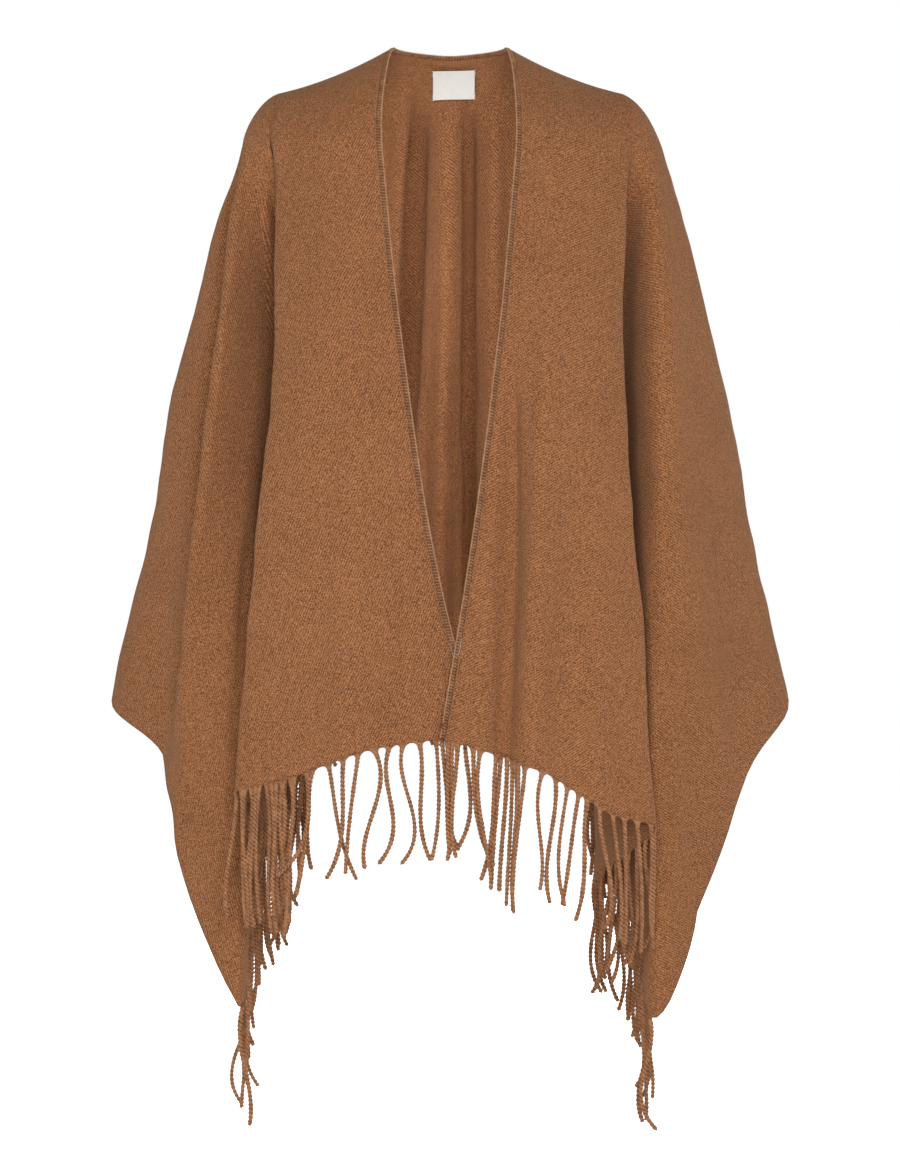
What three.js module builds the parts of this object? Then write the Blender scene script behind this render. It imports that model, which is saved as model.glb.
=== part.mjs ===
// Fringed poncho: one rectangle of brushed twill, slit up the centre front, worn over the shoulders.
// Millimetres, +Z up. The wearer faces -Y, and +X is the side on a viewer's right.
// The origin is midway between the two neck corners, at the height where the shoulders carry the cloth.

import * as THREE from 'three';
import { mergeVertices } from 'three/addons/utils/BufferGeometryUtils.js';

// ---- Driving sizes ----

const WALL = 2.0;             // thickness of the cloth
const SEAM_GAP = 0.3;         // clearance between pieces that are sewn together
const HEM_SLANT = 0.12;       // more clearance below the hem for each millimetre that it runs down
const EDGING_WIDTH = 6.0;     // overlocked edge along the opening and the neck
const EDGING_THICKNESS = 2.6;
const FRINGE_LENGTH = 122;    // reach of the twisted cords below the hem
const FRINGE_THICKNESS = 3.0; // the row of cords, pressed flat
const LABEL = { left: -18, right: 26, top: -9, bottom: -38, thickness: 0.8 };

const NECK = { halfWidth: 62, depth: 50, height: 5, dip: 4 };
const SHOULDER_TIP = { x: 178, height: -41 };
const SHOULDER_SAG = 5;       // how far the shoulder line dips below a straight line to the tip

// Plan sections of each half are given at these heights, and the lines between them are smooth.
const LEVELS = [-110, -300, -520, -760];

// Rows down one half, from the shoulder line to the hem: first over the shoulder, then the hang.
const ROWS = { cap: 4, hang: 11 };

// ---- Folds ----

// One row for each line that runs down the cloth from the shoulder line to its edge, in order from
// the front opening, round the arm, to the centre back. x and y give its place at each level, and
// end is the height of the hem or selvedge there. top is where it starts: 1 at the shoulder tip,
// 0 at the neck corner, -1 at the centre of the back neck. soft is how round the cloth turns on
// the line, and steps the number of columns up to the next line.
const COLUMNS = ['line', 'top', 'x1', 'y1', 'x2', 'y2', 'x3', 'y3', 'x4', 'y4', 'end', 'soft', 'steps'];

const LEFT = table([
  ['opening',        0,    -74,  -90,  -54, -127,  -21, -143,   38, -148, -703, 1.0, 3],
  ['panel inner',    0.4, -108,  -94, -100, -137,  -90, -153,  -78, -158, -716, 1.0, 3],
  ['panel outer',    0.8, -150,  -80, -146, -124, -154, -142, -160, -146, -744, 0.9, 4],
  ['front fold',     1,   -179,  -59, -177, -100, -197, -120, -217, -128, -760, 0.35, 3],
  ['tuck in',        1,   -182,  -54, -163,  -64, -177,  -76, -190,  -82, -781, 0.8, 3],
  ['inner fold in',  1,   -185,  -50, -160,   10, -168,   46, -179,   74, -812, 0.5, 2],
  ['inner fold out', 1,   -189,  -48, -169,   12, -178,   48, -190,   77, -824, 0.5, 3],
  ['tuck out',       1,   -193,  -46, -183,  -16, -193,  -18, -203,  -22, -905, 0.8, 3],
  ['corner line',    1,   -198,  -44, -190,  -26, -204,  -50, -209,  -80, -977, 0.6, 3],
  ['arm flute',      1,   -213,  -33, -232,  -78, -260,  -74, -277,  -62, -812, 0.45, 3],
  ['arm valley',     1,   -218,  -16, -238,  -42, -273,  -36, -302,  -22, -726, 0.6, 3],
  ['outline',        1,   -221,    0, -274,    3, -318,   20, -376,   35, -672, 0.9, 3],
  ['selvedge mid',   1,   -217,   22, -264,   62, -300,   92, -345,  124, -612, 0.9, 3],
  ['back valley 1',  1,   -210,   34, -238,   54, -264,   58, -292,   66, -640, 0.8, 4],
  ['back flute 1',   1,   -203,   46, -240,  118, -264,  150, -288,  176, -705, 0.7, 4],
  ['back valley 2',  1,   -196,   51, -204,   72, -212,   78, -216,   86, -790, 0.7, 4],
  ['back corner',    1,   -190,   58, -200,  122, -210,  150, -216,  170, -862, 0.7, 4],
  ['back inner',     1,   -184,   60, -162,   92, -156,  100, -154,  106, -740, 0.35, 4],
  ['back fold',      1,   -177,   66, -162,  136, -160,  164, -162,  178, -652, 0.6, 4],
  ['back outer',     0.8, -140,   84, -126,  142, -124,  168, -124,  182, -622, 0.9, 3],
  ['back inner pan', 0.4, -100,   92,  -92,  147,  -90,  172,  -90,  185, -606, 1.0, 3],
  ['neck corner',    0,    -66,   97,  -62,  149,  -60,  174,  -60,  187, -598, 1.0, 4],
  ['neck side',     -0.5,  -33,   99,  -31,  151,  -30,  176,  -30,  189, -602, 1.0, 4],
  ['centre back',   -1,      0,  100,    0,  152,    0,  177,    0,  190, -614, 1.0, 0],
]);

const RIGHT = table([
  ['opening',        0,     72,  -92,   54, -131,   25, -152,  -14, -162, -707, 1.0, 3],
  ['panel inner',    0.4,  108,  -95,  102, -139,   98, -157,   94, -162, -738, 1.0, 3],
  ['panel outer',    0.8,  152,  -80,  144, -124,  148, -143,  158, -148, -778, 0.9, 4],
  ['front fold',     1,    183,  -60,  174, -100,  187, -119,  205, -128, -796, 0.35, 3],
  ['tuck in',        1,    186,  -54,  160,  -64,  165,  -76,  176,  -82, -828, 0.8, 3],
  ['inner fold in',  1,    189,  -50,  154,   10,  152,   44,  156,   72, -864, 0.5, 2],
  ['inner fold out', 1,    192,  -48,  163,   12,  164,   46,  169,   75, -876, 0.5, 3],
  ['tuck out',       1,    196,  -46,  181,  -16,  187,  -18,  195,  -22, -935, 0.8, 3],
  ['corner line',    1,    201,  -43,  192,  -50,  202,  -80,  206,  -98, -988, 0.6, 3],
  ['arm flute',      1,    209,  -38,  215,  -76,  222,  -90,  242,  -82, -884, 0.9, 3],
  ['arm valley',     1,    219,  -18,  244,  -48,  272,  -44,  308,  -28, -746, 0.9, 3],
  ['outline',        1,    223,    0,  275,    3,  318,   20,  376,   35, -672, 0.8, 3],
  ['selvedge mid',   1,    218,   22,  262,   64,  298,   96,  342,  128, -618, 0.9, 3],
  ['back valley 1',  1,    211,   34,  240,   52,  268,   56,  298,   64, -652, 0.8, 4],
  ['back flute 1',   1,    204,   46,  236,  116,  258,  152,  280,  180, -716, 0.7, 4],
  ['back valley 2',  1,    197,   51,  206,   74,  214,   80,  218,   88, -800, 0.7, 4],
  ['back corner',    1,    191,   58,  202,  124,  212,  154,  218,  172, -868, 0.7, 4],
  ['back inner',     1,    185,   60,  162,   94,  155,  102,  152,  108, -744, 0.35, 4],
  ['back fold',      1,    178,   66,  164,  138,  164,  166,  166,  180, -656, 0.6, 4],
  ['back outer',     0.8,  141,   84,  128,  143,  126,  169,  126,  183, -624, 0.9, 3],
  ['back inner pan', 0.4,  100,   92,   92,  147,   90,  172,   90,  185, -608, 1.0, 3],
  ['neck corner',    0,     66,   97,   62,  149,   60,  174,   60,  187, -598, 1.0, 4],
  ['neck side',     -0.5,   33,   99,   31,  151,   30,  176,   30,  189, -602, 1.0, 4],
  ['centre back',   -1,      0,  100,    0,  152,    0,  177,    0,  190, -614, 1.0, 0],
]);

// Soft flutes that stand on the panels. x is the crest at the shoulder's height and 700 below it, wide
// the half width, out the height of the full crest (away from the wearer when it is positive), from the
// height where the flute dies out, and grow how far below that it is full.
const FLUTES = table([
  ['back', 'far left',        -118, -124, 26,   9,  -90, 420],
  ['back', 'left crest',       -46,  -88, 19, -15,    0, 110],
  ['back', 'left hollow',      -25,  -62, 15,  16,    0, 110],
  ['back', 'middle crest',       0,  -14, 22, -17,    0, 120],
  ['back', 'right hollow',      22,   24, 13,  16,    0, 110],
  ['back', 'right crest',       48,   44, 17, -14,    0, 110],
  ['back', 'right outer',       80,   84, 18,   9,  -40, 300],
  ['back', 'far right',        112,  120, 26,  10,  -90, 420],
  ['front', 'left',            -92, -104, 30,   6, -260, 420],
  ['front', 'left dip',        -40,  -46, 22,  -5, -330, 420],
  ['front', 'right',           118,   84, 26,  10, -200, 420],
  ['front', 'right dip',        60,   52, 18,  -8, -240, 420],
  ['front', 'right side',      152,  150, 24,   5, -300, 420],
], ['panel', 'flute', 'x1', 'x2', 'wide', 'out', 'from', 'grow']);

function table(rows, columns = COLUMNS) {
  return rows.map((row) => Object.fromEntries(columns.map((name, i) => [name, row[i]])));
}

// ---- Curves ----

function hermite(p, q, m, n, t) {
  const a = (1 + 2 * t) * (1 - t) ** 2;
  const b = t * (1 - t) ** 2;
  const c = t * t * (3 - 2 * t);
  const d = t * t * (t - 1);
  return p.map((value, i) => a * value + b * m[i] + c * q[i] + d * n[i]);
}

const minus = (p, q) => p.map((value, i) => value - q[i]);
const plus = (p, q, k = 1) => p.map((value, i) => value + k * q[i]);
const scaled = (p, k) => p.map((value) => value * k);
const unit = (p) => scaled(p, 1 / Math.hypot(...p));

const at = (line, level) => [line['x' + (level + 1)], line['y' + (level + 1)]];

// The line from which the cloth hangs: the shoulder from tip to neck corner, then the back neck.
function topLine(side, top) {
  if (top >= 0) {
    const x = NECK.halfWidth + (SHOULDER_TIP.x - NECK.halfWidth) * top;
    const z = NECK.height + (SHOULDER_TIP.height - NECK.height) * top;
    return [side * x, 0, z - SHOULDER_SAG * 4 * top * (1 - top)];
  }
  const angle = (1 + top) * Math.PI / 2;
  const z = NECK.height - NECK.dip * top * top;
  return [side * NECK.halfWidth * Math.sin(angle), NECK.depth * Math.cos(angle), z];
}

// The way that the section turns on a line at one level: halfway between its two chords.
function turn(lines, i, level) {
  const here = at(lines[i], level);
  const into = i > 0 ? unit(minus(here, at(lines[i - 1], level))) : [0, 0];
  const out = i < lines.length - 1 ? unit(minus(at(lines[i + 1], level), here)) : [0, 0];
  return scaled(unit(plus(into, out)), lines[i].soft);
}

// One column of the cloth, a share t of the way from line i to the next.
function column(lines, i, t) {
  const line = lines[i];
  const next = lines[i + 1];
  const plan = LEVELS.map((_, level) => {
    const [p, q] = [at(line, level), at(next, level)];
    const span = Math.hypot(...minus(q, p));
    return hermite(p, q, scaled(turn(lines, i, level), span), scaled(turn(lines, i + 1, level), span), t);
  });
  const slope = (k) => {
    const before = lines[Math.max(k - 1, 0)].end;
    const after = lines[Math.min(k + 1, lines.length - 1)].end;
    return (after - before) / 2;
  };
  const [end] = hermite([line.end], [next.end], [slope(i)], [slope(i + 1)], t);
  return { plan, end, top: line.top + (next.top - line.top) * t };
}

// The plan place of a column at a height below the shoulder, and how fast it moves with height.
function hangAt(plan, z) {
  const last = LEVELS.length - 1;
  const rate = (k) => {
    const [a, b] = [Math.max(k - 1, 0), Math.min(k + 1, last)];
    return scaled(minus(plan[b], plan[a]), 1 / (LEVELS[b] - LEVELS[a]));
  };
  if (z <= LEVELS[last]) return { place: plus(plan[last], rate(last), z - LEVELS[last]), rate: rate(last) };
  let k = 0;
  while (k < last - 1 && z < LEVELS[k + 1]) k += 1;
  const step = LEVELS[k + 1] - LEVELS[k];
  const t = (z - LEVELS[k]) / step;
  const place = hermite(plan[k], plan[k + 1], scaled(rate(k), step), scaled(rate(k + 1), step), t);
  return { place, rate: rate(k) };
}

// How far the flutes of a panel lift the cloth off its plain section.
function fluteLift(panel, x, z) {
  let lift = 0;
  for (const flute of FLUTES.filter((row) => row.panel === panel)) {
    const grown = THREE.MathUtils.smoothstep(flute.from - z, 0, flute.grow);
    const crest = flute.x1 + (flute.x2 - flute.x1) * THREE.MathUtils.clamp(-z / 700, 0, 1);
    const off = Math.abs(x - crest) / flute.wide;
    if (off < 1) lift += flute.out * grown * Math.cos(off * Math.PI / 2) ** 2;
  }
  return panel === 'front' ? -lift : lift;
}

// A point of the hanging cloth, or of the fringe below it.
function hangPoint({ plan, panel }, z) {
  const [x, y] = hangAt(plan, z).place;
  return [x, y + (panel ? fluteLift(panel, x, z) : 0), z];
}

// The points down one column, from the shoulder line to the cloth's edge.
function clothPoints(side, place) {
  const { plan, end, top } = place;
  const start = topLine(side, top);
  const first = [...plan[0], LEVELS[0]];
  const reach = Math.hypot(...minus(first, start));
  const out = unit([first[0] - start[0], first[1] - start[1]]);
  const drop = top < 0 ? 0.9 * -top : 0.35 * Math.abs(out[0]);
  const leave = scaled([...out, -drop], 0.85 * reach);
  const arrive = scaled(unit([...scaled(hangAt(plan, LEVELS[0]).rate, -1), -1]), 0.95 * reach);
  const points = [];
  for (let j = 0; j < ROWS.cap; j += 1) points.push(hermite(start, first, leave, arrive, j / ROWS.cap));
  for (let j = 0; j <= ROWS.hang; j += 1) {
    points.push(hangPoint(place, LEVELS[0] + (end - LEVELS[0]) * j / ROWS.hang));
  }
  return points;
}

// The points down the fringe below one column, a little further from the hem where it runs down steeply.
function fringePoints(place, k, places) {
  const [before, after] = [places[Math.max(k - 1, 0)], places[Math.min(k + 1, places.length - 1)]];
  const gap = SEAM_GAP + HEM_SLANT * Math.abs(after.end - before.end);
  return [0, 0.5, 1].map((share) => hangPoint(place, place.end - gap - share * (FRINGE_LENGTH - gap)));
}

// All columns of one half, from the opening to the centre back.
function halfColumns(lines) {
  const columns = [];
  const shoulder = lines.findIndex((line) => line.line === 'front fold');
  const back = lines.findIndex((line) => line.line === 'back fold');
  lines.slice(0, -1).forEach((line, i) => {
    const panel = i < shoulder ? 'front' : i >= back ? 'back' : null;
    for (let k = 0; k < line.steps; k += 1) {
      columns.push({ ...column(lines, i, k / line.steps), panel });
    }
  });
  columns.push({ ...column(lines, lines.length - 2, 1), panel: 'back' });
  return columns;
}

// ---- Solids ----

// A grid of points as an indexed surface, with coinciding points joined.
function surface(columns, flip) {
  const rows = columns[0].length;
  const geometry = new THREE.BufferGeometry();
  geometry.setAttribute('position', new THREE.Float32BufferAttribute(columns.flat(2), 3));
  const index = [];
  for (let i = 0; i < columns.length - 1; i += 1) {
    for (let j = 0; j < rows - 1; j += 1) {
      const [a, b] = [i * rows + j, i * rows + j + 1];
      const [c, d] = [a + rows, b + rows];
      if (flip) index.push(a, c, b, b, c, d);
      else index.push(a, b, c, b, d, c);
    }
  }
  geometry.setIndex(index);
  return geometry;
}

function joined(geometries) {
  const position = [];
  const index = [];
  for (const geometry of geometries) {
    const base = position.length / 3;
    position.push(...geometry.getAttribute('position').array);
    index.push(...Array.from(geometry.index.array, (k) => k + base));
  }
  const all = new THREE.BufferGeometry();
  all.setAttribute('position', new THREE.Float32BufferAttribute(position, 3));
  all.setIndex(index);
  const merged = mergeVertices(all, 0.01);
  const kept = [];
  const k = merged.index.array;
  for (let i = 0; i < k.length; i += 3) {
    if (k[i] !== k[i + 1] && k[i + 1] !== k[i + 2] && k[i] !== k[i + 2]) kept.push(k[i], k[i + 1], k[i + 2]);
  }
  merged.setIndex(kept);
  return merged;
}

// A wall of even thickness around an open surface: both faces and a rim along every open edge.
function wall(geometry, thickness) {
  geometry.computeVertexNormals();
  const p = geometry.getAttribute('position');
  const n = geometry.getAttribute('normal');
  const face = Array.from(geometry.index.array);
  const count = p.count;
  const position = [];
  for (const half of [thickness / 2, -thickness / 2]) {
    for (let i = 0; i < count; i += 1) {
      position.push(p.getX(i) + half * n.getX(i), p.getY(i) + half * n.getY(i), p.getZ(i) + half * n.getZ(i));
    }
  }
  const open = new Map();
  for (let i = 0; i < face.length; i += 3) {
    for (let k = 0; k < 3; k += 1) {
      const [a, b] = [face[i + k], face[i + (k + 1) % 3]];
      if (!open.delete(`${b},${a}`)) open.set(`${a},${b}`, [a, b]);
    }
  }
  const index = [...face];
  for (let i = 0; i < face.length; i += 3) {
    index.push(face[i] + count, face[i + 2] + count, face[i + 1] + count);
  }
  for (const [a, b] of open.values()) index.push(b, a, a + count, b, a + count, b + count);
  const solid = new THREE.BufferGeometry();
  solid.setAttribute('position', new THREE.Float32BufferAttribute(position, 3));
  solid.setIndex(index);
  return solid;
}

function piece(name, geometry, color, roughness = 0.95) {
  const mesh = new THREE.Mesh(geometry, new THREE.MeshStandardMaterial({ color, roughness, metalness: 0 }));
  mesh.name = name;
  return mesh;
}

// ---- The cloth ----

const left = halfColumns(LEFT).map((place) => clothPoints(-1, place));
const right = halfColumns(RIGHT).map((place) => clothPoints(1, place));
const leftFringe = halfColumns(LEFT).map(fringePoints);
const rightFringe = halfColumns(RIGHT).map(fringePoints);
const cloth = joined([surface(left, false), surface(right, true)]);

// ---- Edging along the opening and the neck, a strip beyond the cloth's own edge ----

// The number of columns before a named line.
function columnOf(lines, name) {
  const before = lines.slice(0, lines.findIndex((line) => line.line === name));
  return before.reduce((sum, line) => sum + line.steps, 0);
}

// The cloth's open edge from the left hem up round the neck and down to the right hem.
const neckFirst = columnOf(LEFT, 'neck corner');
const openEdge = [
  ...left[0].slice(1).reverse(),
  ...left.slice(neckFirst).map((points) => points[0]),
  ...right.slice(neckFirst, -1).map((points) => points[0]).reverse(),
  ...right[0].slice(1),
];

// The outward normal of the cloth at one of its own points.
function normalAt(geometry, point) {
  const p = geometry.getAttribute('position');
  const n = geometry.getAttribute('normal');
  for (let i = 0; i < p.count; i += 1) {
    if (Math.hypot(p.getX(i) - point[0], p.getY(i) - point[1], p.getZ(i) - point[2]) < 0.05) {
      return new THREE.Vector3(n.getX(i), n.getY(i), n.getZ(i));
    }
  }
  throw new Error('the point is not on the cloth');
}

// A closed strip from one four-cornered section after another.
function strip(sections) {
  const index = [0, 1, 2, 0, 2, 3];
  for (let i = 0; i < sections.length - 1; i += 1) {
    for (let k = 0; k < 4; k += 1) {
      const [a, b] = [4 * i + k, 4 * i + (k + 1) % 4];
      index.push(a, a + 4, b, b, a + 4, b + 4);
    }
  }
  const last = 4 * (sections.length - 1);
  index.push(last, last + 2, last + 1, last, last + 3, last + 2);
  const geometry = new THREE.BufferGeometry();
  geometry.setAttribute('position', new THREE.Float32BufferAttribute(sections.flat(2), 3));
  geometry.setIndex(index);
  return geometry;
}

function edgingSections(geometry) {
  geometry.computeVertexNormals();
  return openEdge.map((edge, i) => {
    const before = openEdge[Math.max(i - 1, 0)];
    const after = openEdge[Math.min(i + 1, openEdge.length - 1)];
    const normal = normalAt(geometry, edge);
    const away = normal.clone().cross(new THREE.Vector3(...minus(after, before))).normalize();
    const corner = (reach, side) =>
      plus(plus(edge, away.toArray(), reach), normal.toArray(), side * EDGING_THICKNESS / 2);
    const [near, far] = [SEAM_GAP, SEAM_GAP + EDGING_WIDTH];
    return [corner(near, 1), corner(far, 1), corner(far, -1), corner(near, -1)];
  });
}

// ---- Fringe, a plain curtain as deep as the cords reach, on the cloth's surface below the hem ----

function curtain(columns, flip) {
  return wall(surface(columns, flip), FRINGE_THICKNESS);
}
const frontHem = (fringe, lines) => fringe.slice(0, columnOf(lines, 'corner line') + 1);
const backHem = (fringe, lines) => fringe.slice(columnOf(lines, 'back corner'));

// ---- Label, sewn flat on the inside of the back below the neck ----

// The depth of the back's cloth behind a place (x, z), from the triangles of its columns.
function backAt(x, z) {
  const columns = [...left.slice(neckFirst), ...right.slice(neckFirst, -1).reverse()];
  for (let i = 0; i < columns.length - 1; i += 1) {
    for (let j = 0; j < columns[i].length - 1; j += 1) {
      const [a, b, c, d] = [columns[i][j], columns[i][j + 1], columns[i + 1][j], columns[i + 1][j + 1]];
      for (const [p, q, r] of [[a, b, c], [b, d, c]]) {
        const area = (q[0] - p[0]) * (r[2] - p[2]) - (r[0] - p[0]) * (q[2] - p[2]);
        const u = ((x - p[0]) * (r[2] - p[2]) - (r[0] - p[0]) * (z - p[2])) / area;
        const v = ((q[0] - p[0]) * (z - p[2]) - (x - p[0]) * (q[2] - p[2])) / area;
        if (u >= 0 && v >= 0 && u + v <= 1) return p[1] + u * (q[1] - p[1]) + v * (r[1] - p[1]);
      }
    }
  }
  throw new Error('no cloth behind the label');
}

function labelGeometry() {
  const away = WALL / 2 + SEAM_GAP + LABEL.thickness / 2 + 1.2;
  const columns = [];
  for (let i = 0; i <= 4; i += 1) {
    const x = LABEL.left + (LABEL.right - LABEL.left) * i / 4;
    const points = [];
    for (let j = 0; j <= 3; j += 1) {
      const z = LABEL.top + (LABEL.bottom - LABEL.top) * j / 3;
      points.push([x, backAt(x, z) - away, z]);
    }
    columns.push(points);
  }
  return wall(surface(columns, true), LABEL.thickness);
}

// ---- The poncho ----

const wholeBackHem = [...backHem(leftFringe, LEFT), ...backHem(rightFringe, RIGHT).reverse().slice(1)];

const CAMEL = 0x9c6b46;
const poncho = new THREE.Group();
poncho.name = 'fringed_poncho';
poncho.add(
  piece('cloth', wall(cloth, WALL), CAMEL),
  piece('edging', strip(edgingSections(cloth)), 0xa9784f),
  piece('label', labelGeometry(), 0xdcdcd4, 0.6),
  piece('fringe_front_left', curtain(frontHem(leftFringe, LEFT), false), 0x9a6e4c),
  piece('fringe_front_right', curtain(frontHem(rightFringe, RIGHT), true), 0x9a6e4c),
  piece('fringe_back', curtain(wholeBackHem, false), 0x9a6e4c),
);

export default poncho;
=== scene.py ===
import math

import bmesh
import bpy
import numpy as np
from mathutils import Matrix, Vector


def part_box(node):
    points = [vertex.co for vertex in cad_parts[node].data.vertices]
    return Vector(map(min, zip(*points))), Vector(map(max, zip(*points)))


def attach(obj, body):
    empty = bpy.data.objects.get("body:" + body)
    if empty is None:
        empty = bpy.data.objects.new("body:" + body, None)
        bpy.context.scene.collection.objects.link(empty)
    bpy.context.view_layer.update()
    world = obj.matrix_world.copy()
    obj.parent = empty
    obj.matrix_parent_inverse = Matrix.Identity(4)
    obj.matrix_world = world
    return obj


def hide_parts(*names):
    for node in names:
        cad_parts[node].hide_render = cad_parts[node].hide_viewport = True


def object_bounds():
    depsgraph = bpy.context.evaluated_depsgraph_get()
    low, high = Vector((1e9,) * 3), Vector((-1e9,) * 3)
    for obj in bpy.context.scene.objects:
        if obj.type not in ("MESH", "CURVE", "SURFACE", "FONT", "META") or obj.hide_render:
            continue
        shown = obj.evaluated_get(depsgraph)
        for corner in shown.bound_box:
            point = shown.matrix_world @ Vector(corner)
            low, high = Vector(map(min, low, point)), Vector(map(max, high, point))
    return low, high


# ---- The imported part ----
# A fringed poncho as it hangs on a wearer's shoulders. Metres, +Z up, the wearer faces -Y, and +X is
# the side on a viewer's right. Its one body is "root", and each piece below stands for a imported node.

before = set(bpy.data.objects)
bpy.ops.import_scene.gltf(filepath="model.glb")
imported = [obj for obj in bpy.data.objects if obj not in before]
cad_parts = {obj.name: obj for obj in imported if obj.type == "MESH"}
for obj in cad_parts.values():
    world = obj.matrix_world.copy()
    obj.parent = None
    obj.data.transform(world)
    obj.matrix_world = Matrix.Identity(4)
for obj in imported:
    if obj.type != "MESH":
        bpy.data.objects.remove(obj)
packed_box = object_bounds()
MM = 0.001


# ---- The viewer ----
# A camera four metres in front of the shoulders, level with the middle of the front hem's drop.

EYE_DISTANCE = 4.0
EYE_HEIGHT = -0.554
SEEN_HEIGHT = 1.223

camera = bpy.data.objects.new("viewer", bpy.data.cameras.new("viewer"))
bpy.context.scene.collection.objects.link(camera)
camera.location = (0.0, -EYE_DISTANCE, EYE_HEIGHT)
camera.rotation_euler = (math.pi / 2, 0.0, 0.0)
camera.data.sensor_fit = "VERTICAL"
camera.data.sensor_height = 24.0
camera.data.lens = 24.0 * EYE_DISTANCE / SEEN_HEIGHT
bpy.context.scene.camera = camera


# ---- Cloth ----
# One rectangle of brushed twill, slit up the centre front and scooped at the back of the neck. It is
# cut across the loom's width, so its two ends are selvedges, which hang over the arms, and its hems
# run along the front and the back. Nothing shapes it but the shoulders and its own weight.

CLOTH_WALL = 1.9 * MM
NECK = {"half_width": 0.062, "depth": 0.050, "height": 0.005, "dip": 0.004}
SHOULDER_TIP = {"x": 0.178, "height": -0.041}
SHOULDER_SAG = 0.005
LEVELS = np.array([-110, -300, -520, -760]) * MM
CAP_ROWS = 18
HANG_ROWS = 94
FINER = 2.35
CREST_SPAN = 0.7
CAP = {"leave": 0.85, "arrive": 0.95, "side_drop": 0.35, "back_drop": 0.9}
CREASE_FADE = {"share": 0.3, "length": 0.1, "below_shoulder": 0.08}

# One row for each line that runs down a half of the cloth, from the front opening round the arm to
# the centre back, in millimetres: its place at the four levels and the height of its end. top is 1
# at the shoulder tip, 0 at the neck corner and -1 at the centre back, soft is how round the cloth
# turns on the line, steps its columns up to the next, and grain its angle from the warp in degrees.
LINE = ["line", "top", "x1", "y1", "x2", "y2", "x3", "y3", "x4", "y4", "end", "soft", "steps", "grain"]

LEFT = [
    ["opening", 0, -74, -90, -54, -127, -21, -143, 38, -148, -703, 1.0, 6, 12],
    ["panel inner", 0.4, -108, -94, -100, -137, -90, -153, -78, -158, -716, 1.0, 6, 13],
    ["panel outer", 0.8, -150, -80, -146, -124, -154, -142, -160, -146, -744, 0.9, 4, 14],
    ["front fold", 1, -179, -59, -177, -100, -197, -120, -217, -128, -760, 0.35, 3, 14],
    ["tuck in", 1, -182, -54, -163, -64, -177, -76, -190, -82, -781, 0.8, 3, 17],
    ["inner fold in", 1, -185, -50, -160, 10, -168, 46, -179, 74, -812, 0.5, 2, 22],
    ["inner fold out", 1, -189, -48, -169, 12, -178, 48, -190, 77, -824, 0.5, 3, 26],
    ["tuck out", 1, -193, -46, -183, -16, -193, -18, -203, -22, -905, 0.8, 3, 32],
    ["corner line", 1, -198, -44, -190, -26, -204, -50, -209, -80, -977, 0.6, 4, 37],
    ["arm flute", 1, -213, -33, -232, -78, -260, -74, -277, -62, -812, 0.45, 5, 46],
    ["arm valley", 1, -218, -16, -238, -42, -273, -36, -302, -22, -726, 0.6, 4, 55],
    ["outline", 1, -221, 0, -274, 3, -318, 20, -376, 35, -672, 0.9, 3, 64],
    ["selvedge mid", 1, -217, 22, -264, 62, -300, 92, -345, 124, -612, 0.9, 3, 90],
    ["back valley 1", 1, -210, 34, -238, 54, -264, 58, -292, 66, -640, 0.8, 4, 104],
    ["back flute 1", 1, -203, 46, -240, 118, -264, 150, -288, 176, -705, 0.7, 4, 118],
    ["back valley 2", 1, -196, 51, -204, 72, -212, 78, -216, 86, -790, 0.7, 4, 130],
    ["back corner", 1, -190, 58, -200, 122, -210, 150, -216, 170, -862, 0.7, 4, 140],
    ["back inner", 1, -184, 60, -162, 92, -156, 100, -154, 106, -740, 0.35, 4, 160],
    ["back fold", 1, -177, 66, -162, 136, -160, 164, -162, 178, -652, 0.6, 4, 178],
    ["back outer", 0.8, -140, 84, -126, 142, -124, 168, -124, 182, -622, 0.9, 3, 179],
    ["back inner pan", 0.4, -100, 92, -92, 147, -90, 172, -90, 185, -606, 1.0, 3, 180],
    ["neck corner", 0, -66, 97, -62, 149, -60, 174, -60, 187, -598, 1.0, 4, 180],
    ["neck side", -0.5, -33, 99, -31, 151, -30, 176, -30, 189, -602, 1.0, 4, 180],
    ["centre back", -1, 0, 100, 0, 152, 0, 177, 0, 190, -614, 1.0, 0, 180],
]

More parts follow.
